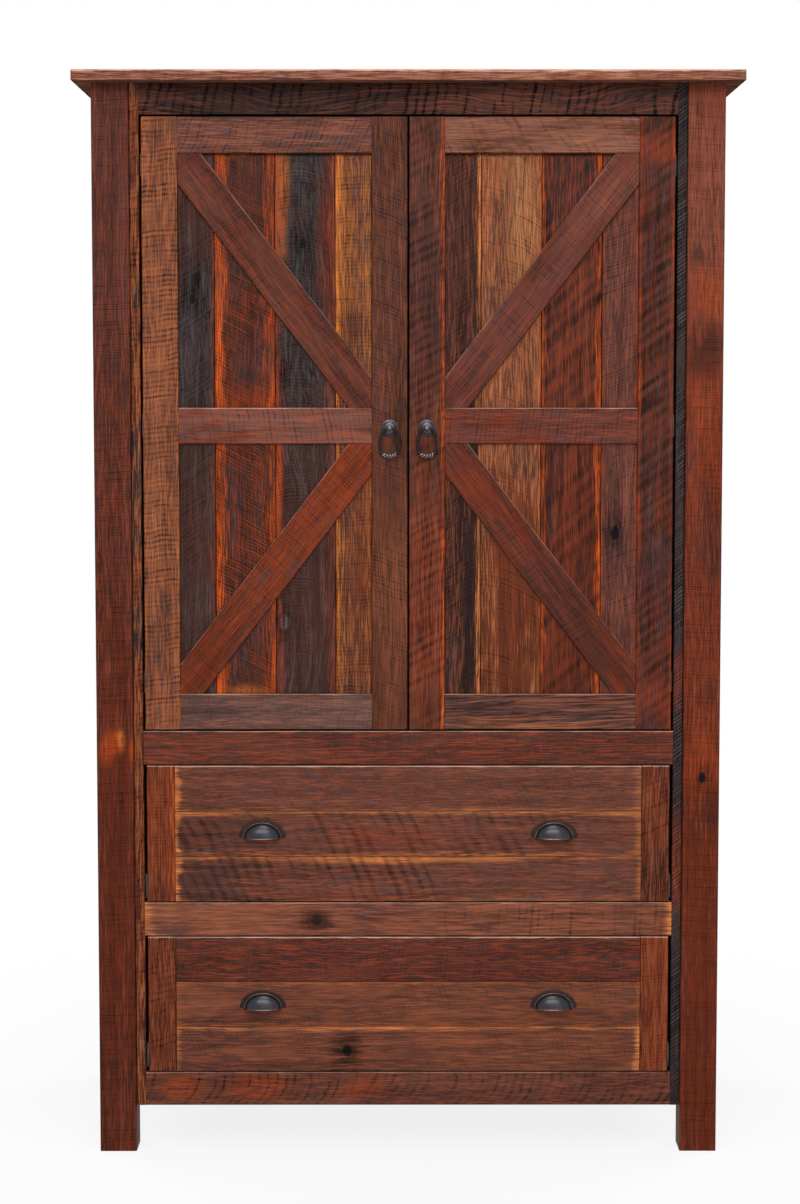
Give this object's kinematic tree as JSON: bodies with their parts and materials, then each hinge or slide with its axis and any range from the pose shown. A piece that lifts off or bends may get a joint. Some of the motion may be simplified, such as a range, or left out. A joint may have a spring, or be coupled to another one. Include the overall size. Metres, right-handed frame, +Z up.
{
  "type": "plank wardrobe",
  "caption": "Tall rustic wardrobe of reclaimed boards on corner posts, with braced plank doors over wide drawers, a clothes rod inside, ring pulls and cup pulls.",
  "frame": {"origin": "on the floor under the middle of the top boards", "axes": "+Z up, front faces -Y, +X to the right seen from the front"},
  "size_m": [1.207, 0.61, 1.981],
  "materials": {
    "top_wood": "stained reclaimed board, satin",
    "post_wood": "dark red-brown stain with saw marks, satin",
    "face_wood": "dark brown stain with saw marks, satin",
    "door_frame_wood": "red-brown stain with saw marks, satin",
    "plank_wood": "dark stain worn to orange at the edges, satin",
    "drawer_front_wood": "brown stain worn at the joints, satin",
    "side_wood": "dark brown stain, satin",
    "case_wood": "plain board, oiled",
    "rod_wood": "turned and oiled",
    "dark_bronze": "oil-rubbed bronze, satin, worn at the rims",
    "hinge_steel": "nickel plated",
    "slide_steel": "zinc plated"
  },
  "bodies": {
    "carcass": {"top_boards": "top_wood", "front_right_post": "post_wood", "front_left_post": "post_wood", "back_right_post": "post_wood", "back_left_post": "post_wood", "right_face_stile": "face_wood", "left_face_stile": "face_wood", "top_face_rail": "face_wood", "middle_face_rail": "face_wood", "drawer_face_rail": "face_wood", "bottom_face_rail": "face_wood", "right_side_liner": "case_wood", "left_side_liner": "case_wood", "right_side_boards": "side_wood", "left_side_boards": "side_wood", "right_side_rails": "side_wood", "left_side_rails": "side_wood", "back_boards": "case_wood", "wardrobe_floor": "case_wood", "case_bottom": "case_wood", "clothes_rod": "rod_wood", "rod_sockets": "dark_bronze", "hinge_arms": "hinge_steel", "slide_outers": "slide_steel"},
    "left_door": {"left_door_hinge_stile": "door_frame_wood", "left_door_meeting_stile": "door_frame_wood", "left_door_top_rail": "door_frame_wood", "left_door_bottom_rail": "door_frame_wood", "left_door_middle_rail": "door_frame_wood", "left_door_upper_brace": "door_frame_wood", "left_door_lower_brace": "door_frame_wood", "left_door_planks": "plank_wood", "left_door_hinge_cups": "hinge_steel", "left_door_pull_mount": "dark_bronze"},
    "left_ring": {"left_door_pull_ring": "dark_bronze"},
    "right_door": {"right_door_hinge_stile": "door_frame_wood", "right_door_meeting_stile": "door_frame_wood", "right_door_top_rail": "door_frame_wood", "right_door_bottom_rail": "door_frame_wood", "right_door_middle_rail": "door_frame_wood", "right_door_upper_brace": "door_frame_wood", "right_door_lower_brace": "door_frame_wood", "right_door_planks": "plank_wood", "right_door_hinge_cups": "hinge_steel", "right_door_pull_mount": "dark_bronze"},
    "right_ring": {"right_door_pull_ring": "dark_bronze"},
    "upper_drawer": {"upper_drawer_front_boards": "drawer_front_wood", "upper_drawer_front_ends": "drawer_front_wood", "upper_drawer_box": "case_wood", "upper_drawer_bottom": "case_wood", "upper_drawer_cup_pulls": "dark_bronze", "upper_drawer_slide_inners": "slide_steel"},
    "upper_slide_middle": {"upper_slide_middles": "slide_steel"},
    "lower_drawer": {"lower_drawer_front_boards": "drawer_front_wood", "lower_drawer_front_ends": "drawer_front_wood", "lower_drawer_box": "case_wood", "lower_drawer_bottom": "case_wood", "lower_drawer_cup_pulls": "dark_bronze", "lower_drawer_slide_inners": "slide_steel"},
    "lower_slide_middle": {"lower_slide_middles": "slide_steel"}
  },
  "joints": [
    {"name": "left_door_hinge", "type": "hinge", "parent": "carcass", "child": "left_door", "pos_m": [-0.4715, -0.256, 1.34475], "axis": [0, 0, -1], "range_deg": [0, 105]},
    {"name": "left_ring_swing", "type": "hinge", "parent": "left_door", "child": "left_ring", "pos_m": [-0.034, -0.276, 1.34095], "axis": [-1, 0, 0], "range_deg": [0, 90]},
    {"name": "right_door_hinge", "type": "hinge", "parent": "carcass", "child": "right_door", "pos_m": [0.4715, -0.256, 1.34475], "axis": [0, 0, 1], "range_deg": [0, 105]},
    {"name": "right_ring_swing", "type": "hinge", "parent": "right_door", "child": "right_ring", "pos_m": [0.034, -0.276, 1.34095], "axis": [-1, 0, 0], "range_deg": [0, 90]},
    {"name": "upper_drawer_slide", "type": "slide", "parent": "carcass", "child": "upper_drawer", "axis": [0, -1, 0], "range_m": [0, 0.43]},
    {"name": "upper_slide_middle_run", "type": "slide", "parent": "carcass", "child": "upper_slide_middle", "axis": [0, -1, 0], "range_m": [0, 0.215]},
    {"name": "lower_drawer_slide", "type": "slide", "parent": "carcass", "child": "lower_drawer", "axis": [0, -1, 0], "range_m": [0, 0.43]},
    {"name": "lower_slide_middle_run", "type": "slide", "parent": "carcass", "child": "lower_slide_middle", "axis": [0, -1, 0], "range_m": [0, 0.215]}
  ],
  "couplings": [
    {"joint": "upper_slide_middle_run", "follows": "upper_drawer_slide", "ratio": 0.5},
    {"joint": "lower_slide_middle_run", "follows": "lower_drawer_slide", "ratio": 0.5}
  ]
}
